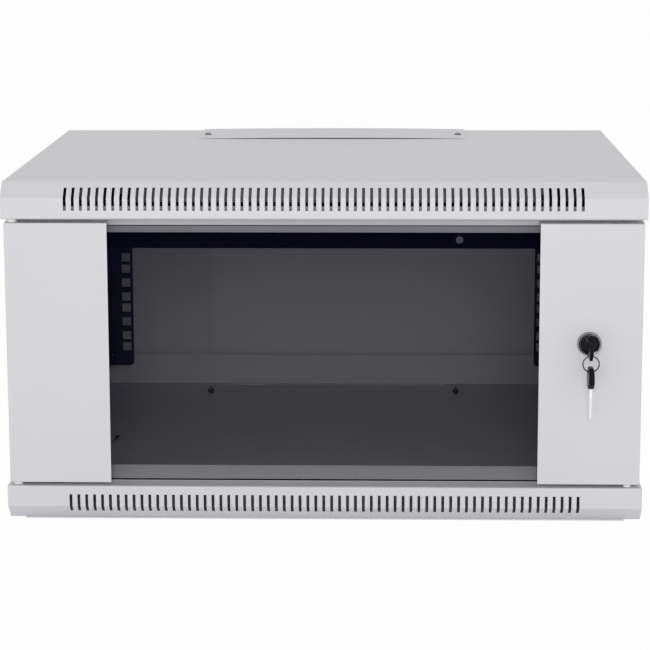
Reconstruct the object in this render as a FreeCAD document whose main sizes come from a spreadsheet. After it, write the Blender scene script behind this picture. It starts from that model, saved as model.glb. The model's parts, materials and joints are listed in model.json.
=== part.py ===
import FreeCAD, Part
import os
import re
import Sketcher

# Wall mount network cabinet: two folded covers, two side pans and a back pan make the shell,
# square-hole rails stand on depth braces inside it, and a steel and glass door hangs on two pins.
# Cabinet coordinates in the expressions: X across, Y from the front face (0) to the wall, Z up from the base.

doc = FreeCAD.newDocument("WallCabinet")
sheet = doc.addObject("Spreadsheet::Sheet", "sizes")

sizes = {
    # shell
    "width": 600, "depth": 450, "height": 323.5, "gauge": 1.2, "bend": 1.8, "seat": 0.3,
    "coverRise": 34, "chamfer": 14, "ledge": 21, "headerDrop": 15, "headerRise": 8.5, "sillRise": 15.8,
    "rearRise": 34, "rearGap": 4.5, "wallRecess": 9, "baseReturn": 66, "panFlange": 20, "openingTrim": 21,
    # ventilation slots
    "ventCount": 65, "ventPitch": 7.5, "ventWidth": 2.8, "ventMargin": 8.2, "ventReach": 8.7,
    "baseVentReach": 5.7,
    # cable entries
    "entryWidth": 254, "entryDepth": 43, "entryRear": 19, "entryPlateWidth": 292, "entryPlateDepth": 86,
    "entryPlateBow": 1.1, "entryScrewInset": 8.5, "entryScrewRear": 57, "entryTravel": 26, "entrySlotRear": 14, "entryScrew": 4,
    # rails and braces
    "rackGap": 450, "rackHoleGap": 465.1, "railFace": 27, "railSide": 30, "railGauge": 1.5,
    "railLow": 62, "railTop": 11.5, "firstHole": 21.7, "holeSize": 9.5, "rackUnit": 44.45,
    "holeStep": 15.875, "unitStep": 12.7, "frontRail": 45, "rearRail": 46,
    "railTravel": 100, "braceHeight": 22, "braceLow": 66, "braceDrop": 13.5, "braceEnd": 24,
    "boltSize": 6, "boltHead": 12, "crossSet": 26.6, "crossHole": 7, "crossHoleX": 128, "crossHoleRise": 8.2, "crossHeight": 44, "crossFlange": 18,
    # door
    "doorGap": 3.5, "doorSide": 2.7, "doorPanel": 96, "doorDeep": 16, "glassThick": 4, "glassLap": 15,
    "glassGap": 2.2, "tapeThick": 0.8, "tapeWidth": 11, "pinInset": 9, "pinDeep": 8, "pinSize": 5,
    "pinPlay": 0.06, "pinReach": 3.5, "pinLength": 58, "pinTravel": 5.5, "washerSize": 9.4,
    "bracketWidth": 14, "bracketGauge": 1.5, "bracketTop": 8, "bracketHeight": 34, "springSize": 7.4,
    "springWire": 0.9, "springTurns": 5, "pinHandle": 14, "glideSize": 8,
    # lock and keys
    "lockInset": 49.5, "lockDrop": 150.3, "lockBarrel": 18.6, "lockRing": 22.7, "lockProud": 3.2,
    "lockLength": 23, "plugSize": 12.4, "plugProud": 1.6, "nutSize": 25, "nutThick": 3.5,
    "camLength": 45, "camWidth": 15, "camThick": 2, "keyBlade": 26, "keyBladeWide": 6.6, "keyBladeThick": 2.4,
    "keyHeadLong": 17.6, "keyHeadWide": 24, "keyHeadThick": 4.8, "keyHole": 4.2, "ringSize": 15, "ringDrop": 7.5,
    "ringWire": 1.3, "keyStandoff": 5.6,
    # fixings
    "wallHole": 9, "wallInset": 38, "wallRise": 170, "wallLow": 100, "screwSize": 4, "screwHead": 8, "fixFront": 54,
    "fixGap": 171, "sideFixDrop": 18.5, "backFixLow": 104, "backFixDrop": 59.5, "studInset": 38, "studRear": 75,
    "studSize": 6, "studRise": 16, "tieSlotWide": 4.3, "tieSlotLong": 27, "tieSlotX": 219, "tieSlotY": 173,
}

for row, (word, value) in enumerate(sizes.items(), 1):
    sheet.set(f"A{row}", word)
    sheet.set(f"B{row}", str(value))
    sheet.setAlias(f"B{row}", word)
doc.recompute()

derived = {
    "doorLow": "coverRise + doorGap",
    "doorTop": "height - coverRise - doorGap",
    "doorLeft": "-width / 2 + doorSide",
    "doorRight": "width / 2 - doorSide",
    "pinX": "doorLeft + pinInset - 2.4",
    "lockX": "doorRight - lockInset",
    "lockZ": "height - lockDrop",
    "glassFront": "gauge + tapeThick",
    "wallFace": "depth - wallRecess",
    "panOut": "width / 2 - gauge - seat",
    "panIn": "panOut - panFlange",
    "panFront": "ledge + seat",
    "panRear": "wallFace - seat",
    "roofUnder": "height - gauge",
    "entryFront": "depth - entryRear - entryDepth",
    "entryScrewY": "depth - entryScrewRear",
    "railOut": "rackGap / 2 + railFace",
    "rearRailY": "depth - rearRail",
    "headY": "-(lockProud + keyStandoff + plugProud)",
    "keyHoleY": "headY - keyHeadLong + 7.5",
    "ringZ": "lockZ - ringDrop - ringSize / 2",
    "spareZ": "lockZ - ringDrop - ringSize",
    "fixX": "panOut - panFlange / 2",
    "entryScrewGap": "entryPlateWidth - 2 * entryScrewInset",
    "railLength": "height - railLow - railTop",
    "unitCount": "floor((railLength - firstHole - unitStep - 2 * holeStep - holeSize / 2) / rackUnit) + 1",
    "braceHigh": "height - braceDrop - braceHeight",
    "crossFixZ": "railLow + firstHole + unitStep + (unitCount - 1) * rackUnit + holeStep / 2",
    "crossLow": "crossFixZ - crossSet",
    "wallGap": "width - 2 * wallInset",
    "backFixGap": "(height - backFixDrop - backFixLow) / 2",
    "footCentre": "(depth + keyHoleY - keyHeadWide / 2) / 2",
}


def link(text):
    # turns plain words into references to the sheet's cells
    for _ in range(4):
        text = re.sub(r"[A-Za-z]\w*", lambda m: f"({derived[m.group()]})" if m.group() in derived
                      else m.group(), text)
    return re.sub(r"[A-Za-z]\w*", lambda m: f"sizes.{m.group()}" if m.group() in sizes
                  else m.group(), text)


def value(text):
    return float(sheet.evalExpression(link(text)))


def bind(thing, target, text):
    thing.setExpression(target, link(text))


def newBody(name):
    body = doc.addObject("PartDesign::Body", name)
    bind(body, "Placement.Base.y", "-footCentre")
    return body


def newSketch(body, name, role, offset="0"):
    # a sketch on one of the body's own origin planes, moved along the plane's normal
    sketch = body.newObject("Sketcher::SketchObject", name)
    plane = [item for item in body.Origin.OriginFeatures if item.Role == role][0]
    sketch.AttachmentSupport = [(plane, "")]
    sketch.MapMode = "FlatFace"
    bind(sketch, "AttachmentOffset.Base.z", offset)
    return sketch


def outline(sketch, corners):
    # a closed outline whose corners are bound to the sheet
    points = [FreeCAD.Vector(value(u), value(v), 0) for u, v in corners]
    first = sketch.GeometryCount
    count = len(points)
    for i in range(count):
        sketch.addGeometry(Part.LineSegment(points[i], points[(i + 1) % count]))
    for i in range(count):
        sketch.addConstraint(Sketcher.Constraint("Coincident", first + i, 2, first + (i + 1) % count, 1))
    for i, (u, v) in enumerate(corners):
        for axis, text, number in (("DistanceX", u, points[i].x), ("DistanceY", v, points[i].y)):
            index = sketch.addConstraint(Sketcher.Constraint(axis, -1, 1, first + i, 1, number))
            bind(sketch, f"Constraints[{index}]", text)


def box(sketch, low, high):
    (u0, v0), (u1, v1) = low, high
    outline(sketch, [(u0, v0), (u1, v0), (u1, v1), (u0, v1)])


def ring(sketch, centre, radius):
    u, v = value(centre[0]), value(centre[1])
    index = sketch.addGeometry(Part.Circle(FreeCAD.Vector(u, v, 0), FreeCAD.Vector(0, 0, 1), value(radius)))
    for axis, text, number in (("DistanceX", centre[0], u), ("DistanceY", centre[1], v)):
        spot = sketch.addConstraint(Sketcher.Constraint(axis, -1, 1, index, 3, number))
        bind(sketch, f"Constraints[{spot}]", text)
    spot = sketch.addConstraint(Sketcher.Constraint("Radius", index, value(radius)))
    bind(sketch, f"Constraints[{spot}]", radius)


def pad(body, sketch, length, both=False, back=False):
    feature = body.newObject("PartDesign::Pad", sketch.Name + "Pad")
    feature.Profile = sketch
    feature.Midplane = both
    feature.Reversed = back
    bind(feature, "Length", length)
    sketch.Visibility = False
    return feature


def pocket(body, sketch, length, back=False, both=False):
    feature = body.newObject("PartDesign::Pocket", sketch.Name + "Pocket")
    feature.Profile = sketch
    feature.Reversed = back
    feature.Midplane = both
    bind(feature, "Length", length)
    doc.recompute()
    before = feature.BaseFeature.Shape.Volume
    if not before - feature.Shape.Volume > 0.01:
        raise RuntimeError(f"{feature.Name} cuts nothing")
    return feature


def drill(body, name, role, level, spots, radius, depth):
    # round holes cut both ways from their plane
    holes = newSketch(body, name, role, level)
    for spot in spots:
        ring(holes, spot, radius)
    return pocket(body, holes, depth, both=True)


def pattern(body, feature, sketch, direction, step, count):
    row = body.newObject("PartDesign::LinearPattern", feature.Name + "Row")
    row.Originals = [feature]
    row.Direction = (sketch, [direction])
    row.Mode = "Spacing"
    bind(row, "Offset", step)
    bind(row, "Occurrences", count)
    body.Tip = row
    return row


def soften(body, base, name, radius, test):
    # rounds the edges that pass the test
    doc.recompute()
    names = [f"Edge{i}" for i, edge in enumerate(base.Shape.Edges, 1) if test(edge)]
    feature = body.newObject("PartDesign::Fillet", name)
    feature.Base = (base, names)
    bind(feature, "Radius", radius)
    return feature


def alongX(edge):
    return abs(edge.tangentAt(edge.FirstParameter).x) > 0.999


def alongZ(edge):
    return abs(edge.tangentAt(edge.FirstParameter).z) > 0.999


def near(number, text, room=0.01):
    return abs(number - value(text)) < room


hands = (("left", -1), ("right", 1))
sideSpots = [(f"fixFront + {k} * fixGap", "height - sideFixDrop") for k in range(3)]
floorSpots = [(f"{side} * fixX", f"fixFront + {k} * fixGap") for _, side in hands for k in range(3)]
backSpots = [(f"{side} * fixX", f"backFixLow + {k} * backFixGap") for _, side in hands for k in range(3)]
crossSpots = [(f"{side} * rackHoleGap / 2", "crossFixZ") for _, side in hands]
studSpot = ("width / 2 - studInset", "depth - studRear")
screwRoom = "screwSize / 2 + 0.1"


# ---------- covers ----------

def roofCover():
    body = newBody("roof_cover")
    fold = newSketch(body, "roofFold", "YZ_Plane")
    low = "height - coverRise"
    outline(fold, [
        ("ledge - gauge", f"{low} - headerDrop"), ("ledge", f"{low} - headerDrop"),
        ("ledge", f"{low} + gauge"), ("gauge", f"{low} + gauge"),
        ("gauge", "height - chamfer - gauge * 0.414"), ("chamfer + gauge * 0.414", "height - gauge"),
        ("depth - gauge", "height - gauge"), ("depth - gauge", low), ("depth", low), ("depth", "height"),
        ("chamfer", "height"), ("0", "height - chamfer"), ("0", low), ("ledge - gauge", low)])
    strip = pad(body, fold, "width - 2 * gauge", both=True)
    bends = soften(body, strip, "roofBends", "bend", lambda e: alongX(e) and (
        near(e.CenterOfMass.y, "0") or near(e.CenterOfMass.z, "height")))
    for side in (-1, 1):
        skirt = newSketch(body, "roofSkirt" + ("Left" if side < 0 else "Right"), "YZ_Plane",
                          f"{side} * (width / 2 - gauge / 2)")
        outline(skirt, [("0", low), ("0", "height - chamfer"), ("chamfer", "height"),
                        ("depth", "height"), ("depth", low)])
        bends = pad(body, skirt, "gauge", both=True)
        bends = soften(body, bends, skirt.Name + "Bend", "gauge * 0.7", lambda e: near(
            abs(e.CenterOfMass.x), "width / 2") and e.CenterOfMass.x * side > 0
            and near(e.CenterOfMass.z, "height"))
    trim = newSketch(body, "headerEnds", "XZ_Plane", "-ledge - 1")
    for side in (-1, 1):
        box(trim, (f"{side} * (width / 2 - openingTrim - gauge)", f"{low} - headerDrop - 1"),
            (f"{side} * width", low))
    pocket(body, trim, "gauge + 1.5", back=True)
    slots = newSketch(body, "roofVents", "XZ_Plane")
    first = "-(ventCount - 1) / 2 * ventPitch"
    box(slots, (f"{first} - ventWidth / 2", f"{low} + ventMargin"),
        (f"{first} + ventWidth / 2", "height - chamfer + ventReach"))
    slot = pocket(body, slots, "chamfer + gauge")
    pattern(body, slot, slots, "H_Axis", "ventPitch", "ventCount")
    drill(body, "roofSideHoles", "YZ_Plane", "0", sideSpots, screwRoom, "width + 2")
    entryCuts(body, "roof", "height - gauge * 2", "entryScrew * 0.6")
    pinHole(body, "roof", low + " - gauge")


def entryCuts(body, name, level, slotRear):
    # the cable opening at the rear and the two slots that its plate's screws run in
    cuts = newSketch(body, name + "Entry", "XY_Plane", level)
    box(cuts, ("-entryWidth / 2", "entryFront"), ("entryWidth / 2", "entryFront + entryDepth"))
    for side in (-1, 1):
        middle = f"{side} * entryScrewGap / 2"
        box(cuts, (f"{middle} - entryScrew * 0.58", "entryScrewY - entryTravel - entryScrew * 0.6"),
            (f"{middle} + entryScrew * 0.58", f"entryScrewY + {slotRear}"))
    pocket(body, cuts, "gauge * 3", back=True)


def pinHole(body, name, level):
    hole = newSketch(body, name + "PinHole", "XY_Plane", level)
    ring(hole, ("pinX", "pinDeep"), "pinSize / 2 + pinPlay")
    pocket(body, hole, "gauge * 3", back=True)


def baseCover():
    body = newBody("base_cover")
    fold = newSketch(body, "baseFold", "YZ_Plane")
    outline(fold, [
        ("chamfer", "0"), ("baseReturn", "0"), ("baseReturn", "gauge"),
        ("chamfer + gauge * 0.414", "gauge"), ("gauge", "chamfer + gauge * 0.414"),
        ("gauge", "coverRise - gauge"), ("depth - gauge", "coverRise - gauge"), ("depth - gauge", "0"),
        ("depth", "0"), ("depth", "coverRise"), ("0", "coverRise"), ("0", "chamfer")])
    strip = pad(body, fold, "width - 2 * gauge", both=True)
    bends = soften(body, strip, "baseBends", "bend", lambda e: alongX(e) and (
        near(e.CenterOfMass.y, "0") or near(e.CenterOfMass.z, "coverRise")
        or (near(e.CenterOfMass.y, "chamfer") and near(e.CenterOfMass.z, "0"))))
    for side in (-1, 1):
        skirt = newSketch(body, "baseSkirt" + ("Left" if side < 0 else "Right"), "YZ_Plane",
                          f"{side} * (width / 2 - gauge / 2)")
        outline(skirt, [("chamfer", "0"), ("0", "chamfer"), ("0", "coverRise"),
                        ("depth", "coverRise"), ("depth", "0")])
        bends = pad(body, skirt, "gauge", both=True)
    slots = newSketch(body, "baseVents", "XZ_Plane")
    first = "-(ventCount - 1) / 2 * ventPitch"
    box(slots, (f"{first} - ventWidth / 2", "chamfer - baseVentReach"),
        (f"{first} + ventWidth / 2", "coverRise - ventMargin"))
    slot = pocket(body, slots, "chamfer + gauge")
    pattern(body, slot, slots, "H_Axis", "ventPitch", "ventCount")
    drill(body, "baseFixHoles", "XY_Plane", "coverRise", floorSpots, screwRoom, "gauge * 4")
    drill(body, "baseStudHole", "XY_Plane", "coverRise", [studSpot], "studSize / 2 + 0.1", "gauge * 4")
    tie = newSketch(body, "baseTieSlot", "XY_Plane", "coverRise")
    box(tie, ("-tieSlotX - tieSlotWide / 2", "tieSlotY"), ("-tieSlotX + tieSlotWide / 2", "tieSlotY + tieSlotLong"))
    pocket(body, tie, "gauge * 4", both=True)
    entryCuts(body, "base", "coverRise - gauge * 2", "entrySlotRear")
    pinHole(body, "base", "coverRise - gauge * 2")


def strips():
    # folded strips: the sill behind the door, the upstand before the back pan and the strip above the door
    sill = newBody("front_sill")
    fold = newSketch(sill, "sillFold", "YZ_Plane")
    outline(fold, [("ledge - gauge", "coverRise"), ("ledge + 16", "coverRise"),
                   ("ledge + 16", "coverRise + gauge"), ("ledge", "coverRise + gauge"),
                   ("ledge", "coverRise + sillRise"), ("ledge - gauge", "coverRise + sillRise")])
    pad(sill, fold, "2 * (panIn - 1)", both=True)
    rear = newBody("rear_sill")
    fold = newSketch(rear, "rearFold", "YZ_Plane")
    face = "panRear - gauge - rearGap"
    outline(fold, [(face, "coverRise"), ("depth - gauge - seat", "coverRise"),
                   ("depth - gauge - seat", "coverRise + gauge"), (f"{face} + gauge", "coverRise + gauge"),
                   (f"{face} + gauge", "coverRise + rearRise"), (face, "coverRise + rearRise")])
    pad(rear, fold, "2 * (panIn - 1)", both=True)
    header = newBody("front_header")
    fold = newSketch(header, "headerFold", "YZ_Plane")
    low = "height - coverRise + gauge"
    outline(fold, [("gauge * 2", low), ("ledge", low), ("ledge", f"{low} + headerRise"),
                   ("ledge - gauge", f"{low} + headerRise"), ("ledge - gauge", f"{low} + gauge"),
                   ("gauge * 2", f"{low} + gauge")])
    pad(header, fold, "2 * (panIn - 1)", both=True)


# ---------- pans ----------

def shelled(body, base, inner):
    # hollows a pan through the one face that the test picks
    doc.recompute()
    faces = [f"Face{i}" for i, face in enumerate(base.Shape.Faces, 1) if inner(face.CenterOfMass)]
    feature = body.newObject("PartDesign::Thickness", base.Name + "Shell")
    feature.Base = (base, faces)
    feature.Mode = 0
    feature.Join = 1
    feature.Reversed = True
    bind(feature, "Value", "gauge")
    return feature


def sidePan(name, side):
    body = newBody(name)
    face = newSketch(body, name + "Face", "YZ_Plane", f"{side} * (panOut - panFlange / 2)")
    box(face, ("panFront", "coverRise"), ("panRear", "roofUnder"))
    block = pad(body, face, "panFlange", both=True)
    shelled(body, block, lambda c: near(abs(c.x), "panIn"))
    drill(body, name + "SideHoles", "YZ_Plane", "0", sideSpots, screwRoom, "width + 2")
    low = [spot for spot in floorSpots if value(spot[0]) * side > 0]
    drill(body, name + "LowHoles", "XY_Plane", "coverRise", low, screwRoom, "gauge * 4")
    back = [spot for spot in backSpots if value(spot[0]) * side > 0]
    drill(body, name + "BackHoles", "XZ_Plane", "-wallFace", back, screwRoom, "gauge * 4")


def backPan():
    body = newBody("back_panel")
    face = newSketch(body, "backFace", "XZ_Plane", "-wallFace")
    box(face, ("-panOut", "coverRise + 2 * gauge"), ("panOut", "roofUnder"))
    block = pad(body, face, "wallRecess - gauge - seat", back=True)
    shelled(body, block, lambda c: near(c.y, "depth - gauge - seat"))
    wallSpots = [(f"{side} * wallGap / 2", rise) for _, side in hands
                 for rise in ("wallLow", "wallLow + wallRise")]
    drill(body, "wallHoles", "XZ_Plane", "-wallFace", wallSpots, "wallHole / 2", "gauge * 4")
    drill(body, "backFixHoles", "XZ_Plane", "-wallFace", backSpots, screwRoom, "gauge * 4")


# ---------- rails ----------

def rail(name, side, front):
    # an angle with square holes: one hole low down, then five full units
    body = newBody(name)
    turn = 1 if front else -1
    face = "frontRail" if front else "rearRailY"
    angle = newSketch(body, name + "Angle", "XY_Plane", "railLow")
    out, gap, thick = f"{side} * railOut", f"{side} * rackGap / 2", f"{side} * (railOut - railGauge)"
    outline(angle, [(gap, face), (out, face), (out, f"{face} + {turn} * railSide"),
                    (thick, f"{face} + {turn} * railSide"), (thick, f"{face} + {turn} * railGauge"),
                    (gap, f"{face} + {turn} * railGauge")])
    bar = pad(body, angle, "railLength")
    soften(body, bar, name + "Corners", "5", lambda e: near(abs(e.CenterOfMass.x), "rackGap / 2")
           and not alongX(e) and not alongZ(e))
    middle = f"{side} * rackHoleGap / 2"
    low = "railLow + firstHole"
    for word, rises in (("Low", ["0"]), ("Unit", ["unitStep", "unitStep + holeStep", "unitStep + 2 * holeStep"])):
        holes = newSketch(body, name + word, "XZ_Plane", f"-({face})")
        for rise in rises:
            box(holes, (f"{middle} - holeSize / 2", f"{low} + {rise} - holeSize / 2"),
                (f"{middle} + holeSize / 2", f"{low} + {rise} + holeSize / 2"))
        cut = pocket(body, holes, "railGauge * 4", both=True)
    pattern(body, cut, holes, "V_Axis", "rackUnit", "unitCount")
    bolts = [(f"{face} + {turn} * railSide / 2", f"{rise} + braceHeight / 2")
             for rise in ("braceLow", "braceHigh")]
    drill(body, name + "BoltHoles", "YZ_Plane", f"{side} * railOut", bolts, "boltSize / 2 + seat",
          "railGauge * 4")
    if front:
        cross = [spot for spot in crossSpots if value(spot[0]) * side > 0]
        drill(body, name + "CrossHoles", "XZ_Plane", "-frontRail", cross, screwRoom, "railGauge * 4")


def brace(name, side, low):
    # a channel from front to back, with one long slot for each rail's bolts
    body = newBody(name)
    fold = newSketch(body, name + "Fold", "XZ_Plane", "-braceEnd")
    inner, far = f"{side} * railOut", f"{side} * (panOut - gauge)"
    web = f"{side} * (railOut + railGauge)"
    outline(fold, [(inner, low), (far, low), (far, f"{low} + railGauge"), (web, f"{low} + railGauge"),
                   (web, f"{low} + braceHeight - railGauge"), (far, f"{low} + braceHeight - railGauge"),
                   (far, f"{low} + braceHeight"), (inner, f"{low} + braceHeight")])
    pad(body, fold, "panRear - gauge - rearGap - braceEnd", back=True)
    slots = newSketch(body, name + "Slots", "YZ_Plane", f"{side} * railOut")
    middle = f"{low} + braceHeight / 2"
    reach = "railTravel + boltSize / 2 + 2 * seat"
    for here, ahead in (("frontRail + railSide / 2", 1), ("rearRailY - railSide / 2", -1)):
        box(slots, (f"{here} - {ahead} * (boltSize / 2 + 2 * seat)", f"{middle} - boltSize / 2 - seat"),
            (f"{here} + {ahead} * ({reach})", f"{middle} + boltSize / 2 + seat"))
    pocket(body, slots, "railGauge * 4", both=True)


def crossRail():
    body = newBody("front_cross_rail")
    fold = newSketch(body, "crossFold", "YZ_Plane")
    outline(fold, [("frontRail - railGauge", "crossLow"), ("frontRail", "crossLow"),
                   ("frontRail", "crossLow + crossHeight"),
                   ("frontRail - railGauge - crossFlange", "crossLow + crossHeight"),
                   ("frontRail - railGauge - crossFlange", "crossLow + crossHeight - railGauge"),
                   ("frontRail - railGauge", "crossLow + crossHeight - railGauge")])
    pad(body, fold, "2 * railOut", both=True)
    drill(body, "crossHoles", "XZ_Plane", "-frontRail", crossSpots, screwRoom, "railGauge * 4")
    drill(body, "crossRoundHole", "XZ_Plane", "-frontRail", [("crossHoleX", "crossLow + crossHoleRise")],
          "crossHole / 2", "railGauge * 4")


# ---------- plates and fixings ----------

def entryPlate(name, level, bow):
    # a cover plate, slightly bowed across, that slides on its two screws
    body = newBody(name)
    section = newSketch(body, name + "Section", "XZ_Plane", "-(depth - entryPlateDepth)")
    half, rise = value("entryPlateWidth / 2"), value("entryPlateBow") * bow
    down = "0" if bow > 0 else "-gauge"
    up = "gauge" if bow > 0 else "0"
    base, top = value(f"{level} + {down}"), value(f"{level} + {up}")
    vector = FreeCAD.Vector
    sketch = section
    sketch.addGeometry(Part.Arc(vector(-half, base, 0), vector(0, base + rise, 0), vector(half, base, 0)))
    sketch.addGeometry(Part.LineSegment(vector(half, base, 0), vector(half, top, 0)))
    sketch.addGeometry(Part.Arc(vector(half, top, 0), vector(0, top + rise, 0), vector(-half, top, 0)))
    sketch.addGeometry(Part.LineSegment(vector(-half, top, 0), vector(-half, base, 0)))
    pad(body, section, "entryPlateDepth" if bow > 0 else "entryPlateDepth - gauge - seat", back=True)
    holes = newSketch(body, name + "Holes", "XY_Plane", level)
    for side in (-1, 1):
        ring(holes, (f"{side} * entryScrewGap / 2", "entryScrewY"), "entryScrew / 2 + 0.2")
    pocket(body, holes, "8 * gauge", both=True)


def turned(name, parts):
    # one solid of stacked steps; each is (axis, x, y, z, radius, length), then the sides where it isn't round
    pieces = []
    for i, (axis, x, y, z, radius, length, *sides) in enumerate(parts):
        part = doc.addObject("Part::Prism" if sides else "Part::Cylinder", f"{name}Step{i}")
        if sides:
            part.Polygon = sides[0]
        bind(part, "Circumradius" if sides else "Radius", radius)
        bind(part, "Height", length)
        turn = {"x": FreeCAD.Rotation(FreeCAD.Vector(0, 1, 0), 90), "z": FreeCAD.Rotation(),
                "y": FreeCAD.Rotation(FreeCAD.Vector(1, 0, 0), -90)}[axis]
        part.Placement = FreeCAD.Placement(FreeCAD.Vector(), turn)
        for letter, text in (("x", x), ("y", y), ("z", z)):
            bind(part, f"Placement.Base.{letter}", text)
        pieces.append(part)
    if len(pieces) == 1:
        return pieces[0]
    joined = doc.addObject("Part::MultiFuse", name + "Fused")
    joined.Shapes = pieces
    return joined


def group(name, members):
    bundle = doc.addObject("Part::Compound", name)
    bundle.Links = members
    bind(bundle, "Placement.Base.y", "-footCentre")
    return bundle


def plateScrews(name, up, level):
    # two screws through plate and slot, with a nut on the far side; up is the side of the heads
    screws = []
    for word, side in hands:
        x = f"{side} * entryScrewGap / 2"
        head = f"{level} + gauge + seat" if up else f"{level} - gauge - seat - entryScrew * 0.55"
        shank = f"{level} - gauge * 2 - 5" if up else f"{level} - gauge - seat - 1"
        nut = f"{level} - gauge - seat - 3" if up else f"{level} + gauge + seat"
        screws.append(turned(name + word, [
            ("z", x, "entryScrewY", head, "entryScrew * 0.95", "entryScrew * 0.55"),
            ("z", x, "entryScrewY", shank, "entryScrew / 2", "gauge * 3 + seat + 6", 12),
            ("z", x, "entryScrewY", nut, "entryScrew * 0.95", "3", 6)]))
    group(name, screws)


def railBolts(name, side, front):
    turn, face = (1, "frontRail") if front else (-1, "rearRailY")
    bolts = []
    for rise in ("braceLow", "braceHigh"):
        y, z = f"{face} + {turn} * railSide / 2", f"{rise} + braceHeight / 2"
        spots = [("railOut - railGauge - boltSize * 0.6", "boltSize * 0.6", "boltHead / 2", 6),
                 ("railOut - railGauge", "railGauge * 3 + 4", "boltSize / 2", 12),
                 ("railOut + railGauge", "boltSize * 0.8", "boltSize * 0.95", 6)]
        bolts.append(turned(name + rise, [
            ("x", start if side > 0 else f"-({start}) - {length}", y, z, radius, length, sides)
            for start, length, radius, sides in spots]))
    group(name + "_bolts", bolts)


def sheetScrews(name, axis, spots, seatAt, turn):
    # short screws: a low head on the sheet at seatAt, a shank through both sheets
    screws = []
    for i, (u, v) in enumerate(spots):
        head = f"{seatAt}" if turn > 0 else f"{seatAt} - screwSize * 0.5"
        shank = f"{seatAt} - gauge * 2 - seat - 3" if turn > 0 else seatAt
        x, y, z = {"x": ("0", u, v), "y": (u, "0", v), "z": (u, v, "0")}[axis]
        steps = []
        for start, radius, length, sides in ((head, "screwHead / 2", "screwSize * 0.5", 16),
                                             (shank, "screwSize / 2", "gauge * 2 + seat + 3", 8)):
            place = {"x": (start, y, z), "y": (x, start, z), "z": (x, y, start)}[axis]
            steps.append((axis, *place, radius, length, sides))
        screws.append(turned(f"{name}{i}", steps))
    group(name, screws)


def fixings():
    plateScrews("roof_plate_screws", True, "height")
    plateScrews("floor_plate_screws", False, "coverRise - gauge")
    for name, side, front in railSet:
        railBolts(name, side, front)
    sheetScrews("left_side_screws", "x", sideSpots, "-width / 2", -1)
    sheetScrews("right_side_screws", "x", sideSpots, "width / 2", 1)
    sheetScrews("floor_screws", "z", floorSpots, "coverRise - gauge", -1)
    sheetScrews("back_panel_screws", "y", backSpots, "wallFace + gauge", 1)
    sheetScrews("cross_rail_screws", "y", crossSpots, "frontRail - railGauge", -1)
    stud = turned("earthStud", [
        ("z", *studSpot, "coverRise - gauge - 3", "studSize * 0.9", "3", 6),
        ("z", *studSpot, "coverRise - gauge", "studSize / 2", "studRise + gauge"),
        ("z", *studSpot, "coverRise", "studSize", "1.2"),
        ("z", *studSpot, "coverRise + 1.2", "studSize * 0.9", "5", 6)])
    group("earth_stud", [stud])
    glide = turned("doorGlide", [
        ("z", "doorRight - 11", "pinDeep", "coverRise", "glideSize / 2", "doorGap - seat")])
    group("door_glide", [glide])


# ---------- door ----------

def doorPanel(name, side):
    # a folded pan: front, outer, top and bottom walls, open to the glass and to the rear
    body = newBody(name)
    face = newSketch(body, name + "Face", "XZ_Plane")
    outer = "doorRight" if side > 0 else "doorLeft"
    inner = f"{outer} - {side} * doorPanel"
    box(face, (outer, "doorLow"), (inner, "doorTop"))
    block = pad(body, face, "doorDeep", back=True)
    block = soften(body, block, name + "Bends", "gauge * 0.9", lambda e: near(e.CenterOfMass.y, "0")
                   and not (alongZ(e) and near(e.CenterOfMass.x, inner)))
    doc.recompute()
    hollow = newSketch(body, name + "Hollow", "XZ_Plane", "-gauge")
    box(hollow, (f"{outer} - {side} * gauge", "doorLow + gauge"), (f"{inner} - {side} * 5", "doorTop - gauge"))
    pocket(body, hollow, "doorDeep")
    if side > 0:
        hole = newSketch(body, "lockHole", "XZ_Plane")
        ring(hole, ("lockX", "lockZ"), "lockBarrel / 2 + 0.1")
        pocket(body, hole, "gauge * 4", both=True)
    else:
        hole = newSketch(body, "pinHoles", "XY_Plane", "(doorLow + doorTop) / 2")
        ring(hole, ("pinX", "pinDeep"), "pinSize / 2 + pinPlay")
        pocket(body, hole, "height", both=True)


def glass():
    body = newBody("door_glass")
    face = newSketch(body, "glassFace", "XZ_Plane", "-glassFront")
    box(face, ("doorLeft + doorPanel - glassLap", "doorLow + glassGap"),
        ("doorRight - doorPanel + glassLap", "doorTop - glassGap"))
    sheetOfGlass = pad(body, face, "glassThick", back=True)
    soften(body, sheetOfGlass, "glassEdge", "0.6", lambda e: abs(e.tangentAt(e.FirstParameter).y) < 0.5)
    for name, side in (("left_glass_tape", -1), ("right_glass_tape", 1)):
        tape = newBody(name)
        face = newSketch(tape, name + "Face", "XZ_Plane", "-gauge")
        outer = "doorRight" if side > 0 else "doorLeft"
        edge = f"{outer} - {side} * (doorPanel - glassLap)"
        box(face, (f"{edge} - {side} * 1.5", "doorLow + glassGap + 2"),
            (f"{edge} - {side} * (1.5 + tapeWidth)", "doorTop - glassGap - 2"))
        pad(tape, face, "tapeThick", back=True)


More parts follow.
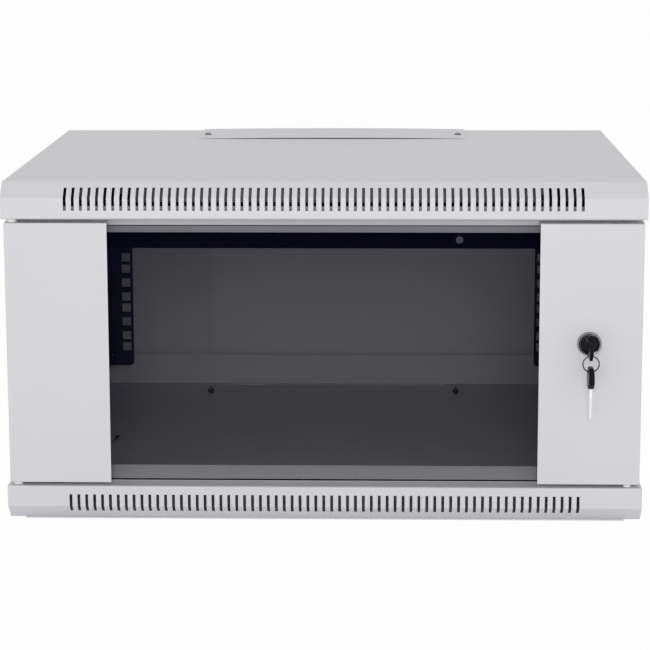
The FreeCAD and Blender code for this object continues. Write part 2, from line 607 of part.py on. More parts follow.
def hinges():
    # the upper pin is sprung and is drawn down by its bent end; the lower one is fixed
    low, top = "doorLow", "doorTop"
    span = "bracketWidth"
    for name, foot, up in (("top_hinge_bracket", f"{top} - bracketTop - bracketHeight", True),
                           ("bottom_hinge_bracket", f"{low} + bracketTop", False)):
        body = newBody(name)
        rise = "bracketHeight" if up else "bracketHeight / 2"
        fold = newSketch(body, name + "Fold", "YZ_Plane", "pinX")
        back = "gauge"
        outline(fold, [
            (back, foot), ("pinDeep + 5", foot), ("pinDeep + 5", f"{foot} + bracketGauge"),
            (f"{back} + bracketGauge", f"{foot} + bracketGauge"),
            (f"{back} + bracketGauge", f"{foot} + {rise} - bracketGauge"),
            ("pinDeep + 5", f"{foot} + {rise} - bracketGauge"), ("pinDeep + 5", f"{foot} + {rise}"),
            (back, f"{foot} + {rise}")])
        pad(body, fold, "bracketWidth - 5", both=True)
        hole = newSketch(body, name + "Hole", "XY_Plane", foot)
        ring(hole, ("pinX", "pinDeep"), "pinSize / 2 + pinPlay")
        pocket(body, hole, "height", both=True)
    tail = f"{top} + doorGap + pinReach - pinLength"
    pin = turned("topPin", [
        ("z", "pinX", "pinDeep", tail, "pinSize / 2", "pinLength"),
        ("z", "pinX", "pinDeep", f"{top} - bracketTop - bracketGauge - seat - 2", "springSize / 2", "2"),
        ("x", "pinX", "pinDeep", f"{tail} + pinSize * 0.6", "pinSize * 0.42", "pinHandle")])
    group("top_hinge_pin", [pin])
    pin = turned("bottomPin", [
        ("z", "pinX", "pinDeep", f"{low} - doorGap - pinReach", "pinSize / 2",
         "doorGap + pinReach + bracketTop + bracketHeight / 2 + 2"),
        ("z", "pinX", "pinDeep", f"{low} + bracketTop + bracketHeight / 2 + seat", "springSize / 2", "1.4")])
    group("bottom_hinge_pin", [pin])
    for name, level in (("top_hinge_washer", f"{top} + seat / 2"),
                        ("bottom_hinge_washer", f"{low} - doorGap + seat / 2")):
        body = newBody(name)
        face = newSketch(body, name + "Face", "XY_Plane", level)
        ring(face, ("pinX", "pinDeep"), "washerSize / 2")
        ring(face, ("pinX", "pinDeep"), "pinSize / 2 + pinPlay")
        pad(body, face, "doorGap - seat")
    spring()


def spring():
    foot = value("doorTop - bracketTop - bracketHeight + bracketGauge + seat + springWire / 2")
    head = value("doorTop - bracketTop - bracketGauge - 2 - seat * 2 - springWire / 2")
    radius = value("(springSize - springWire) / 2")
    helix = Part.makeHelix((head - foot) / value("springTurns"), head - foot, radius)
    wire = Part.Wire(helix.Edges)
    half = value("springWire / 2")
    corners = [FreeCAD.Vector(radius + u * half, 0, v * half) for u, v in ((-1, -1), (1, -1), (1, 1), (-1, 1))]
    coil = wire.makePipeShell([Part.makePolygon(corners + corners[:1])], True, True)
    feature = doc.addObject("Part::Feature", "hinge_spring")
    feature.Shape = coil
    feature.Placement = FreeCAD.Placement(
        FreeCAD.Vector(value("pinX"), value("pinDeep - footCentre"), foot), FreeCAD.Rotation())


# ---------- lock and keys ----------

def lock():
    group("lock_body", [lockBody()])
    body = newBody("lock_plug")
    front = "-(lockProud + plugProud)"
    face = newSketch(body, "plugFace", "XZ_Plane", f"-({front})")
    ring(face, ("lockX", "lockZ"), "plugSize / 2")
    pad(body, face, "lockProud + plugProud + lockLength + camThick + 0.4", back=True)
    slit = newSketch(body, "keySlit", "XZ_Plane", f"-({front}) + 1")
    box(slit, ("lockX - keyBladeThick / 2 - seat", "lockZ - keyBladeWide / 2 - seat"),
        ("lockX + keyBladeThick / 2 + seat", "lockZ + keyBladeWide / 2 + seat"))
    pocket(body, slit, "keyBlade + 2")
    body = newBody("lock_nut")
    face = newSketch(body, "nutFace", "XZ_Plane", "-gauge")
    ring(face, ("lockX", "lockZ"), "nutSize / 2")
    ring(face, ("lockX", "lockZ"), "lockBarrel / 2 + 0.05")
    pad(body, face, "nutThick", back=True)
    body = newBody("lock_cam")
    face = newSketch(body, "camFace", "XZ_Plane", "-(lockLength + 0.2)")
    outline(face, [("lockX - camWidth / 2", "lockZ + camWidth / 2"),
                   ("lockX - camWidth / 2", "lockZ - camLength + 4"), ("lockX - camWidth / 2 + 4", "lockZ - camLength"),
                   ("lockX + camWidth / 2 - 4", "lockZ - camLength"), ("lockX + camWidth / 2", "lockZ - camLength + 4"),
                   ("lockX + camWidth / 2", "lockZ + camWidth / 2")])
    arm = pad(body, face, "camThick", back=True)
    hole = newSketch(body, "camHole", "XZ_Plane", "-lockLength")
    ring(hole, ("lockX", "lockZ"), "plugSize / 2")
    pocket(body, hole, "camThick * 4")
    screw = turned("camScrew", [
        ("y", "lockX", "lockLength + camThick + 0.4", "lockZ", "plugSize * 0.7", "1.2"),
        ("y", "lockX", "lockLength + camThick + 1.6", "lockZ", "screwSize", "2.4")])
    group("cam_screw", [screw])


def lockBody():
    barrel = turned("lockBarrelSteps", [
        ("y", "lockX", "-0.8", "lockZ", "lockBarrel / 2", "lockLength + 0.8"),
        ("y", "lockX", "-1.8", "lockZ", "lockRing / 2", "1.8"),
        ("y", "lockX", "-lockProud", "lockZ", "lockRing / 2 - 1.6", "lockProud")])
    bore = turned("lockBore", [
        ("y", "lockX", "-20", "lockZ", "plugSize / 2 + 0.06", "60")])
    cut = doc.addObject("Part::Cut", "lockBodyCut")
    cut.Base = barrel
    cut.Tool = bore
    return cut


def keyPair():
    # each key hangs edge-on to the door; the blade of the first is in the lock
    half = "keyHeadWide / 2"
    body = newBody("key_head")
    face = newSketch(body, "keyHeadFace", "YZ_Plane", "lockX")
    tip = "headY - keyHeadLong"
    outline(face, [("headY + 2", "lockZ - 3.6"), ("headY + 2", "lockZ + 3.6"), ("headY - 2.5", f"lockZ + {half} - 2"),
                   ("headY - 6", f"lockZ + {half}"), (f"{tip} + 6", f"lockZ + {half}"), (tip, f"lockZ + {half} - 6"),
                   (tip, f"lockZ - {half} + 6"), (f"{tip} + 6", f"lockZ - {half}"),
                   ("headY - 6", f"lockZ - {half}"), ("headY - 2.5", f"lockZ - {half} + 2")])
    head = pad(body, face, "keyHeadThick", both=True)
    soften(body, head, "keyHeadSoft", "1.2", lambda e: near(abs(e.CenterOfMass.x - value("lockX")),
                                                           "keyHeadThick / 2"))
    hole = newSketch(body, "keyHeadHole", "YZ_Plane", "lockX")
    reach = "(ringDrop + ringWire / 2 + seat * 3)"
    box(hole, ("keyHoleY - keyHole / 2", f"lockZ - {reach}"), ("keyHoleY + keyHole / 2", f"lockZ + {reach}"))
    pocket(body, hole, "keyHeadThick * 2", both=True)
    body = newBody("key_blade")
    face = newSketch(body, "keyBladeFace", "YZ_Plane", "lockX")
    box(face, ("headY + 2", "lockZ - keyBladeWide / 2"), ("headY + 2 + keyBlade", "lockZ + keyBladeWide / 2"))
    pad(body, face, "keyBladeThick", both=True)
    body = newBody("spare_key_head")
    face = newSketch(body, "spareHeadFace", "YZ_Plane", "lockX")
    top, foot = "spareZ + 4.2", "spareZ + 4.2 - keyHeadLong"
    outline(face, [("keyHoleY - 3.6", f"{foot} - 2"), ("keyHoleY + 3.6", f"{foot} - 2"),
                   (f"keyHoleY + {half} - 2", f"{foot} + 2.5"), (f"keyHoleY + {half}", f"{foot} + 6"),
                   (f"keyHoleY + {half}", f"{top} - 6"), (f"keyHoleY + {half} - 6", top),
                   (f"keyHoleY - {half} + 6", top), (f"keyHoleY - {half}", f"{top} - 6"),
                   (f"keyHoleY - {half}", f"{foot} + 6"), (f"keyHoleY - {half} + 2", f"{foot} + 2.5")])
    head = pad(body, face, "keyHeadThick", both=True)
    soften(body, head, "spareHeadSoft", "1.2", lambda e: near(abs(e.CenterOfMass.x - value("lockX")),
                                                             "keyHeadThick / 2"))
    hole = newSketch(body, "spareHeadHole", "YZ_Plane", "lockX")
    ring(hole, ("keyHoleY", "spareZ"), "keyHole / 2")
    pocket(body, hole, "keyHeadThick * 2", both=True)
    body = newBody("spare_key_blade")
    face = newSketch(body, "spareBladeFace", "YZ_Plane", "lockX")
    outline(face, [("keyHoleY - keyBladeWide / 2", f"{foot} - 2"), ("keyHoleY + keyBladeWide / 2", f"{foot} - 2"),
                   ("keyHoleY + keyBladeWide / 2", f"{foot} - keyBlade - 2"), ("keyHoleY", f"{foot} - keyBlade - 4"),
                   ("keyHoleY - keyBladeWide / 2", f"{foot} - keyBlade - 2")])
    pad(body, face, "keyBladeThick", both=True)
    wire = doc.addObject("Part::RegularPolygon", "keyRingWire")
    wire.Polygon = 8
    bind(wire, "Circumradius", "ringWire / 2")
    wire.Placement = FreeCAD.Placement(FreeCAD.Vector(), FreeCAD.Rotation(FreeCAD.Vector(0, 0, 1), 22.5))
    bind(wire, "Placement.Base.x", "ringSize / 2")
    loop = doc.addObject("Part::Revolution", "keyRing")
    loop.Source = wire
    loop.Axis = FreeCAD.Vector(0, 1, 0)
    loop.Angle = 360
    loop.Solid = True
    for letter, text in (("x", "lockX"), ("y", "keyHoleY"), ("z", "ringZ")):
        bind(loop, f"Placement.Base.{letter}", text)
    group("key_ring", [loop])


railSet = [(f"{'front' if front else 'rear'}_rail_{'left' if side < 0 else 'right'}", side, front)
           for front in (True, False) for side in (-1, 1)]

roofCover()
baseCover()
strips()
sidePan("side_panel_left", -1)
sidePan("side_panel_right", 1)
backPan()
for railName, railHand, railFront in railSet:
    rail(railName, railHand, railFront)
for braceHand, braceWord in ((-1, "left"), (1, "right")):
    brace("lower_brace_" + braceWord, braceHand, "braceLow")
    brace("upper_brace_" + braceWord, braceHand, "braceHigh")
crossRail()
entryPlate("roof_cable_plate", "height", 1)
entryPlate("floor_cable_plate", "coverRise - gauge", -1)
doorPanel("door_panel_left", -1)
doorPanel("door_panel_right", 1)
glass()
hinges()
lock()
keyPair()
fixings()
doc.recompute()

for thing in doc.Objects:
    if "Invalid" in thing.State or "Error" in thing.State:
        raise RuntimeError(f"{thing.Name} failed")

tops = [thing for thing in doc.Objects if re.fullmatch(r"[a-z]+(_[a-z]+)+", thing.Name)
        and not thing.InList]
os.makedirs("parts", exist_ok=True)
for thing in tops:
    thing.Label = thing.Name
    shape = thing.Shape
    if shape.isNull() or not shape.isValid():
        raise RuntimeError(f"{thing.Label} has no valid shape")
    shape.exportStep(f"parts/{thing.Label}.step")
    print(thing.Label, len(shape.Solids), round(shape.Volume))
print(len(tops), "parts; foot centre", value("footCentre"))
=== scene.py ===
import json
import math

import bmesh
import bpy
from mathutils import Matrix, Vector

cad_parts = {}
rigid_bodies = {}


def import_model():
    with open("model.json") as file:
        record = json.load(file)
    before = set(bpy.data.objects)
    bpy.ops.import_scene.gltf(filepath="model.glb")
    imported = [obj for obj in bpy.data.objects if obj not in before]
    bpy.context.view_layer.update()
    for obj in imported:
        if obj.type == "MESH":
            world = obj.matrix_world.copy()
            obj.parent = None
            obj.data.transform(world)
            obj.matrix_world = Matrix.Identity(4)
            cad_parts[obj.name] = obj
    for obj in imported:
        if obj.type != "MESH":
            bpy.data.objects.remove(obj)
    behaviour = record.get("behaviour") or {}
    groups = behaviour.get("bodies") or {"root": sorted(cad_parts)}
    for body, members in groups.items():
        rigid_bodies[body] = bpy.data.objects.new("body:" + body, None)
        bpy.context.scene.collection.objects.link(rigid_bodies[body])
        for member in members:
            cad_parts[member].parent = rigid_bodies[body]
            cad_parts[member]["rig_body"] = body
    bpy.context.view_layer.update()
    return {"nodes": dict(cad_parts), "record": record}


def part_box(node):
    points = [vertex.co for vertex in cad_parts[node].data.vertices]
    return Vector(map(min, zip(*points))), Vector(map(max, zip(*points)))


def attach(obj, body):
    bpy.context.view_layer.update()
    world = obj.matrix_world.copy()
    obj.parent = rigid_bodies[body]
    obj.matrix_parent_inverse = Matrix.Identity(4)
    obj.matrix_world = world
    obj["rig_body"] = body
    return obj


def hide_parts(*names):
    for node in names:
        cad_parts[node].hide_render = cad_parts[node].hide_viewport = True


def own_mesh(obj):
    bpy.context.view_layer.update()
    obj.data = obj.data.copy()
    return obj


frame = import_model()
cadNodes = frame["nodes"]
print("frame loaded:", len(cadNodes), "nodes")


# materials

class Signal:
    # a socket with Python's operators; each one adds a Math node
    def __init__(self, graph, socket):
        self.graph = graph
        self.socket = socket

    def combine(self, operation, first, second):
        return self.graph.node("ShaderNodeMath", {"operation": operation}, first, second)

    def __add__(self, other):
        return self.combine("ADD", self, other)

    def __radd__(self, other):
        return self.combine("ADD", other, self)

    def __mul__(self, other):
        return self.combine("MULTIPLY", self, other)

    def __rmul__(self, other):
        return self.combine("MULTIPLY", other, self)


class Graph:
    # the nodes of a material or of the world
    def __init__(self, tree):
        self.tree = tree

    def node(self, kind, settings, *values, output=0, **named):
        made = self.tree.nodes.new(kind)
        for word, value in settings.items():
            setattr(made, word, value)
        for key, value in [*enumerate(values), *named.items()]:
            # a socket whose name is repeated on its node is named by its number
            key = int(key) if str(key).isdigit() else key
            if isinstance(value, Signal):
                self.tree.links.new(value.socket, made.inputs[key])
            else:
                made.inputs[key].default_value = value
        return Signal(self, made.outputs[output])

    def show(self, ending, signal):
        self.tree.links.new(signal.socket, self.tree.nodes[ending].inputs["Surface"])


class Finish(Graph):
    # one material, its Principled shader and the nodes in front of it
    def __init__(self, name, **constants):
        self.material = bpy.data.materials.new(name)
        self.material.use_nodes = True
        super().__init__(self.material.node_tree)
        self.shader = self.tree.nodes["Principled BSDF"]
        for word, value in constants.items():
            self.shader.inputs[word].default_value = value
        self.place = self.node("ShaderNodeTexCoord", {}, output="Object")

    def feed(self, word, signal):
        self.tree.links.new(signal.socket, self.shader.inputs[word])

    def noise(self, scale, detail=2.0, stretch=None):
        place = self.place
        if stretch:
            place = self.node("ShaderNodeMapping", {}, place, Scale=stretch)
        return self.node("ShaderNodeTexNoise", {}, Vector=place, Scale=scale, Detail=detail)

    def gloss(self, middle, spread, mask):
        self.feed("Roughness", middle - spread / 2 + spread * mask)

    def bump(self, height, distance, strength):
        made = self.node("ShaderNodeBump", {}, Height=height, Distance=distance, Strength=strength)
        self.feed("Normal", made)

    def tint(self, mask, dark, light):
        # for colours the Mix node takes its factor at 0 and the colours at 6 and 7, and gives one at output 2
        self.feed("Base Color", self.node("ShaderNodeMix", {"data_type": "RGBA"}, output=2, **{
            "0": mask, "6": (*dark, 1), "7": (*light, 1)}))


paintSizes = {"mottleScale": 9.0, "mottle": 0.015, "glossScale": 60.0, "spread": 0.08, "peelDetail": 1.0,
              "peelDeep": 0.00003, "peelStrength": 0.5}


def powderCoat(name, colour, gloss, peel, shine=1.5):
    # baked powder paint: very slight mottling, and an orange peel too fine to see from afar
    finish = Finish(name, **{"IOR": shine})
    mottle = paintSizes["mottle"]
    finish.tint(finish.noise(paintSizes["mottleScale"]), [part * (1 - mottle) for part in colour],
                [min(part * (1 + mottle), 1) for part in colour])
    finish.gloss(gloss, paintSizes["spread"], finish.noise(paintSizes["glossScale"]))
    skin = finish.noise(peel, paintSizes["peelDetail"])
    finish.bump(skin, paintSizes["peelDeep"], paintSizes["peelStrength"])
    return finish.material


metalSizes = {"grain": 900.0, "lineDetail": 3.0, "spread": 0.16, "lineDeep": 0.00002, "lineStrength": 0.6}


def brushed(name, colour, gloss, stretch):
    # plated or ground metal, its grain drawn out along the axes with the smaller values
    finish = Finish(name, **{"Base Color": (*colour, 1), "Metallic": 1.0})
    lines = finish.noise(metalSizes["grain"], metalSizes["lineDetail"], stretch)
    finish.gloss(gloss, metalSizes["spread"], lines)
    finish.bump(lines, metalSizes["lineDeep"], metalSizes["lineStrength"])
    return finish.material


plasticSizes = {"spread": 0.1, "fineness": 6, "grainDeep": 0.00003, "grainStrength": 0.5}


def moulded(name, colour, gloss, grain, shine=1.45):
    finish = Finish(name, **{"Base Color": (*colour, 1), "IOR": shine})
    finish.gloss(gloss, plasticSizes["spread"], finish.noise(grain))
    fine = finish.noise(grain * plasticSizes["fineness"])
    finish.bump(fine, plasticSizes["grainDeep"], plasticSizes["grainStrength"])
    return finish.material


def tinted(name, colour, cover, gloss, shine):
    # grey glass: each face lets part of the light through, and the surface is smooth
    finish = Finish(name, **{"Base Color": (*colour, 1), "Roughness": gloss, "IOR": shine, "Alpha": cover})
    return finish.material


looks = {
    "shell_grey": powderCoat("lightGreyPaint", (0.66, 0.66, 0.685), 0.46, 900.0),
    "rail_black": powderCoat("blackPaint", (0.02, 0.023, 0.034), 0.42, 1200.0, 1.35),
    "tinted_glass": tinted("tintedGlass", (0.001, 0.001, 0.011), 0.28, 0.03, 1.05),
    # the zinc's colour is kept low: partly painted shade and dim reflection, as the white world would make
    # the screw heads too bright
    "zinc_steel": brushed("zincSteel", (0.45, 0.45, 0.44), 0.34, (1, 1, 4)),
    # the chrome's colour is made dark: a painted dark reflection of a dim room, which the white world would
    # not give
    "lock_chrome": brushed("lockChromePaintedReflection", (0.27, 0.275, 0.285), 0.16, (1, 6, 1)),
    "lock_black": moulded("lockBlack", (0.002, 0.002, 0.004), 0.09, 300.0, 1.27),
    "key_plastic": moulded("keyPlastic", (0.003, 0.003, 0.004), 0.3, 250.0, 1.2),
    "key_steel": brushed("keySteel", (0.88, 0.88, 0.87), 0.22, (6, 6, 1)),
    "ring_wire": brushed("ringWire", (0.07, 0.07, 0.075), 0.3, (1, 1, 1)),
    "white_nylon": moulded("whiteNylon", (0.85, 0.85, 0.83), 0.45, 200.0),
    "foam_tape": moulded("bondingTape", (0.02, 0.02, 0.02), 0.7, 400.0),
}
glassEdge = moulded("glassEdge", (0.002, 0.0025, 0.003), 0.12, 200.0, 1.2)
# a darker copy of the zinc, for the cable plate screws: painted shade and dim reflection round and in their
# heads
paintedShadeZinc = brushed("paintedShadeZinc", (0.2, 0.2, 0.205), 0.34, (1, 1, 4))
# a darker copy of the black rail paint, for the front cross rail: painted shade, as that rail lies in the
# deep shade under the roof
paintedShadeBlack = powderCoat("paintedShadeBlackPaint", (0.003, 0.003, 0.005), 0.5, 1200.0, 1.12)
slotOf = {part["node"]: part["material_slot"] for part in frame["record"]["subparts"]}
for nodeName, cadNode in cadNodes.items():
    cadNode.data.materials.clear()
    cadNode.data.materials.append(looks[slotOf[nodeName]])
# the front cross rail takes the copy with the painted shade
cadNodes["front_cross_rail"].data.materials[0] = paintedShadeBlack
print("materials set")


# making pieces

pieceSizes = {"weld": 1e-6, "flat": 1, "broken": 28, "sharp": 32, "softSharp": 40, "roundSharp": 60}


def finishPiece(mesh, name, like, sharp=pieceSizes["sharp"], slot=None, extra=None, surface=None):
    # turns a bmesh into a shaded piece that stands for a node and rides with it
    bmesh.ops.recalc_face_normals(mesh, faces=mesh.faces)
    data = bpy.data.meshes.new(name)
    mesh.to_mesh(data)
    mesh.free()
    for face in data.polygons:
        face.use_smooth = True
    data.set_sharp_from_angle(angle=math.radians(sharp))
    data.materials.append(surface or looks[slot or slotOf[like]])
    if extra:
        data.materials.append(extra)
    piece = bpy.data.objects.new(name, data)
    bpy.context.scene.collection.objects.link(piece)
    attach(piece, cadNodes[like]["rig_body"])
    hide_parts(like)
    return piece


def newVerts(made):
    return [item for item in made["geom"] if isinstance(item, bmesh.types.BMVert)]


def turned(mesh, parts, centre, axis, steps):
    # a full turn of an outline about an axis
    bmesh.ops.spin(mesh, geom=parts, cent=centre, axis=axis, angle=2 * math.pi, steps=steps, use_merge=True,
                   use_duplicate=False)
    bmesh.ops.remove_doubles(mesh, verts=mesh.verts, dist=pieceSizes["weld"])


def lathed(profile, centre, steps):
    # turns an open outline of (radius, depth) points about the lock's axis, which runs from front to back
    mesh = bmesh.new()
    verts = [mesh.verts.new(centre + Vector((radius, depth, 0))) for radius, depth in profile]
    edges = [mesh.edges.new(pair) for pair in zip(verts, verts[1:])]
    turned(mesh, verts + edges, centre, (0, 1, 0), steps)
    return mesh


def merged(name):
    mesh = bmesh.new()
    mesh.from_mesh(cadNodes[name].data)
    bmesh.ops.remove_doubles(mesh, verts=mesh.verts, dist=pieceSizes["weld"])
    bmesh.ops.dissolve_limit(mesh, angle_limit=math.radians(pieceSizes["flat"]), verts=mesh.verts,
                             edges=mesh.edges)
    return mesh


def breakEdges(mesh, width, segments=2, shortest=0.0):
    # edges under the shortest length stay sharp
    limit = math.radians(pieceSizes["broken"])
    edges = [edge for edge in mesh.edges
             if edge.is_manifold and edge.calc_face_angle(0) > limit and edge.calc_length() >= shortest]
    bmesh.ops.bevel(mesh, geom=edges, offset=width, offset_type="OFFSET", affect="EDGES", segments=segments,
                    profile=0.5, material=-1, clamp_overlap=True)


def softened(name, width, segments=2, shortest=0.0, sharp=pieceSizes["sharp"]):
    # a merged copy of a node with its edges broken
    mesh = merged(name)
    breakEdges(mesh, width, segments, shortest)
    piece = finishPiece(mesh, name + "Soft", name, sharp)
    level = piece.modifiers.new("evenNormals", "WEIGHTED_NORMAL")
    level.keep_sharp = True


# folded sheet

# edges shorter than coverEdge or stripEdge, such as those round the vent slots, stay sharp
foldSizes = {"width": 0.00045, "segments": 3, "sharp": 18,
             "covers": ("roof_cover", "base_cover"), "coverEdge": 0.1,
             "strips": ("door_panel_left", "door_panel_right", "side_panel_left", "side_panel_right",
                        "front_sill", "front_header", "rear_sill"), "stripEdge": 0.012}

for sheets, shortest in (("covers", "coverEdge"), ("strips", "stripEdge")):
    for sheet in foldSizes[sheets]:
        softened(sheet, foldSizes["width"], foldSizes["segments"], foldSizes[shortest], foldSizes["sharp"])
print("folds rounded")


# door glass

paneSizes = {"edge": 0.0005, "facing": 0.99}


def glassPane():
    # a ground edge, which looks dark because little light comes out of it
    mesh = merged("door_glass")
    breakEdges(mesh, paneSizes["edge"])
    for face in mesh.faces:
        face.normal_update()
        face.material_index = 0 if abs(face.normal.y) > paneSizes["facing"] else 1
    finishPiece(mesh, "glassPane", "door_glass", extra=glassEdge)


glassPane()
print("glass made")


# lock

# crest: how far each point of the bezel lies from its outside, as a share of its width, and behind its front
lockSizes = {"steps": 64, "gap": 0.00005, "ringWidth": 0.0026, "seat": 0.0017, "footHigh": 0.0001,
             "crest": ((1, 0.0004), (0.8, 0.0001), (0.5, 0), (0.2, 0.0004), (0, 0.0013)),
             "footBevel": 0.0002, "thread": 0.0093, "threadBevel": 0.0004,
             "domeStart": 0.0002, "domeRings": 6, "domeSharp": 50,
             "coreCrown": 0.0016, "coreRings": 7, "coreBevel": 0.0003,
             "slitWide": 0.0026, "slitHigh": 0.0078, "slitDeep": 0.012, "cutNear": 1e-7}


def quarterTurn(rings):
    return [math.pi / 2 * ring / rings for ring in range(rings + 1)]


def lockBody():
    # a rounded bezel that rises from the door, and a glossy dome between it and the core
    low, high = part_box("lock_body")
    coreLow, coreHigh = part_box("lock_plug")
    centre = Vector(((low.x + high.x) / 2, 0, (low.z + high.z) / 2))
    radius, front, rear = (high.x - low.x) / 2, low.y, high.y
    gap = lockSizes["gap"]
    bore = (coreHigh.x - coreLow.x) / 2 + gap
    inner = radius - lockSizes["ringWidth"]
    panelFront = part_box("door_panel_right")[0].y
    seat = front + lockSizes["seat"]
    thread, bevel = lockSizes["thread"], lockSizes["threadBevel"]
    crest = [(radius - lockSizes["ringWidth"] * share, front + deep) for share, deep in lockSizes["crest"]]
    bezel = [(bore, rear), (bore, seat), (inner, seat), *crest, (radius, panelFront - lockSizes["footHigh"]),
             (radius - lockSizes["footBevel"], panelFront), (thread, panelFront), (thread, rear - bevel),
             (thread - bevel, rear), (bore, rear)]
    finishPiece(lathed(bezel, centre, lockSizes["steps"]), "lockBezel", "lock_body")
    outer, base, start = inner - gap, seat - gap, seat - lockSizes["domeStart"]
    rings = lockSizes["domeRings"]
    dome = [(outer + (bore - outer) * ring / rings, start - (start - front) * math.sin(angle))
            for ring, angle in enumerate(quarterTurn(rings))]
    outline = [(bore, base), *reversed(dome), (outer, base), (bore, base)]
    finishPiece(lathed(outline, centre, lockSizes["steps"]), "lockDome", "lock_body", lockSizes["domeSharp"],
                "lock_black")


def lockCore():
    # a domed core, with a slit for the blade that goes a little way in
    low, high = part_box("lock_plug")
    centre = Vector(((low.x + high.x) / 2, 0, (low.z + high.z) / 2))
    radius, crown, bevel = (high.x - low.x) / 2, lockSizes["coreCrown"], lockSizes["coreBevel"]
    dome = [(radius * math.sin(angle), low.y + crown * (1 - math.cos(angle)))
            for angle in quarterTurn(lockSizes["coreRings"])]
    mesh = lathed([*dome, (radius, high.y - bevel), (radius - bevel, high.y), (0, high.y)], centre,
                  lockSizes["steps"])
    bmesh.ops.recalc_face_normals(mesh, faces=mesh.faces)

    def crownFaces():
        return [face for face in mesh.faces if face.calc_center_median().y < low.y + crown]

    half = {0: lockSizes["slitWide"] / 2, 2: lockSizes["slitHigh"] / 2}
    for axis, reach in half.items():
        for side in (-1, 1):
            across = Vector((0, 0, 0))
            across[axis] = side
            front = crownFaces()
            around = dict.fromkeys(part for face in front for part in (*face.edges, *face.verts))
            bmesh.ops.bisect_plane(mesh, geom=[*front, *around], dist=lockSizes["cutNear"],
                                   plane_co=centre + across * reach, plane_no=across)
    slit = []
    for face in crownFaces():
        away = face.calc_center_median() - centre
        if all(abs(away[axis]) < reach for axis, reach in half.items()):
            slit.append(face)
    sunk = bmesh.ops.extrude_face_region(mesh, geom=slit)
    bmesh.ops.delete(mesh, geom=slit, context="FACES")
    for vert in newVerts(sunk):
        vert.co.y = low.y + lockSizes["slitDeep"]
    finishPiece(mesh, "lockCore", "lock_plug", lockSizes["domeSharp"])


lockBody()
lockCore()

# how far the edges of the small flat and turned pieces are broken
smallEdges = {"roof_cable_plate": 0.0004, "floor_cable_plate": 0.0004, "lock_nut": 0.0004, "lock_cam": 0.0003,
              "cam_screw": 0.0003, "top_hinge_bracket": 0.0003, "bottom_hinge_bracket": 0.0003,
              "top_hinge_washer": 0.0004, "bottom_hinge_washer": 0.0004, "door_glide": 0.0005}

for small, width in smallEdges.items():
    softened(small, width)


# keys

# bites and grooves: shares of the blade's length and width, from the grip to the tip
keySizes = {"rounding": 0.0007, "roundSegments": 3, "rows": 26, "columns": 4, "shoulder": 0.28, "thin": 0.66,
            "bites": (0, 0.5, 0.5, 0.9, 0.3, 0.3, 0.7, 0.7, 0.2, 0.6, 0.6, 0.4), "biteDeep": 0.0016,
            "biteEnd": 0.97, "biteEdge": 0.3, "tipStart": 0.94, "tipTaper": 0.3, "grooveDeep": 0.00035,
            "grooveStart": 0.3, "grooveLow": 0.25, "grooveHigh": 0.5, "grooveEdge": 0.0002, "facing": 0.9,
            "bladeSharp": 30}


def fromGrip(place, axis, low, high, tip):
    # how far a point lies along a key, from 0 to 1; tip is the way that the blade points on the axis
    share = (place[axis] - low[axis]) / (high[axis] - low[axis])
    return share if tip > 0 else 1 - share


def keyHead(name, axis, tip, atStart, atEnd):
    # a moulded grip whose thickness runs from atStart to atEnd, as shares of the plain one
    mesh = merged(name)
    low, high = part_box(name)
    middle = (low.x + high.x) / 2
    for vert in mesh.verts:
        share = fromGrip(vert.co, axis, low, high, tip)
        vert.co.x = middle + (vert.co.x - middle) * (atStart + (atEnd - atStart) * share)
    breakEdges(mesh, keySizes["rounding"], keySizes["roundSegments"])
    finishPiece(mesh, name + "Grip", name, pieceSizes["softSharp"])


def biteAt(along):
    # how deep the edge is cut at a share of the blade's length
    bites, shoulder = keySizes["bites"], keySizes["shoulder"]
    step = (along - shoulder) / (keySizes["biteEnd"] - shoulder) * len(bites)
    return bites[int(step)] * keySizes["biteDeep"] if 0 <= step < len(bites) else 0


def keyBlade(name, axis, tip, edge):
    # a flat blade, bitten along one edge and grooved on both sides, with a thicker shoulder at the grip
    low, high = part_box(name)
    across = 3 - axis
    mesh = bmesh.new()
    made = bmesh.ops.create_grid(mesh, x_segments=keySizes["rows"], y_segments=keySizes["columns"], size=0.5)
    for vert in made["verts"]:
        along = vert.co.x + 0.5
        taper = keySizes["tipTaper"] * max(0, along - keySizes["tipStart"]) / (1 - keySizes["tipStart"])
        wide = 0.5 + vert.co.y * (1 - taper)
        place = Vector((low.x, 0, 0))
        place[axis] = low[axis] + (high[axis] - low[axis]) * (along if tip > 0 else 1 - along)
        place[across] = low[across] + (high[across] - low[across]) * wide
        if (wide if edge < 0 else 1 - wide) < keySizes["biteEdge"]:
            place[across] -= edge * biteAt(along)
        vert.co = place
    back = bmesh.ops.extrude_face_region(mesh, geom=mesh.faces[:])
    for vert in newVerts(back):
        vert.co.x += high.x - low.x
    middle = (low.x + high.x) / 2
    for vert in mesh.verts:
        if fromGrip(vert.co, axis, low, high, tip) > keySizes["shoulder"]:
            vert.co.x = middle + (vert.co.x - middle) * keySizes["thin"]
    bmesh.ops.recalc_face_normals(mesh, faces=mesh.faces)
    for side in (-1, 1):
        strip = []
        for face in mesh.faces:
            where = face.calc_center_median()
            level = (where[across] - low[across]) / (high[across] - low[across])
            if (face.normal.x * side > keySizes["facing"]
                    and keySizes["grooveLow"] < level < keySizes["grooveHigh"]
                    and fromGrip(where, axis, low, high, tip) > keySizes["grooveStart"]):
                strip.append(face)
        bmesh.ops.inset_region(mesh, faces=strip, thickness=keySizes["grooveEdge"],
                               depth=-keySizes["grooveDeep"])
    finishPiece(mesh, name + "Cut", name, keySizes["bladeSharp"])


keyHead("key_head", 2, -1, 1.0, 0.6)
keyHead("spare_key_head", 2, 1, 1.22, 1.0)
keyBlade("key_blade", 1, 1, -1)
keyBlade("spare_key_blade", 2, -1, 1)

ringSizes = {"sides": 12, "steps": 64}


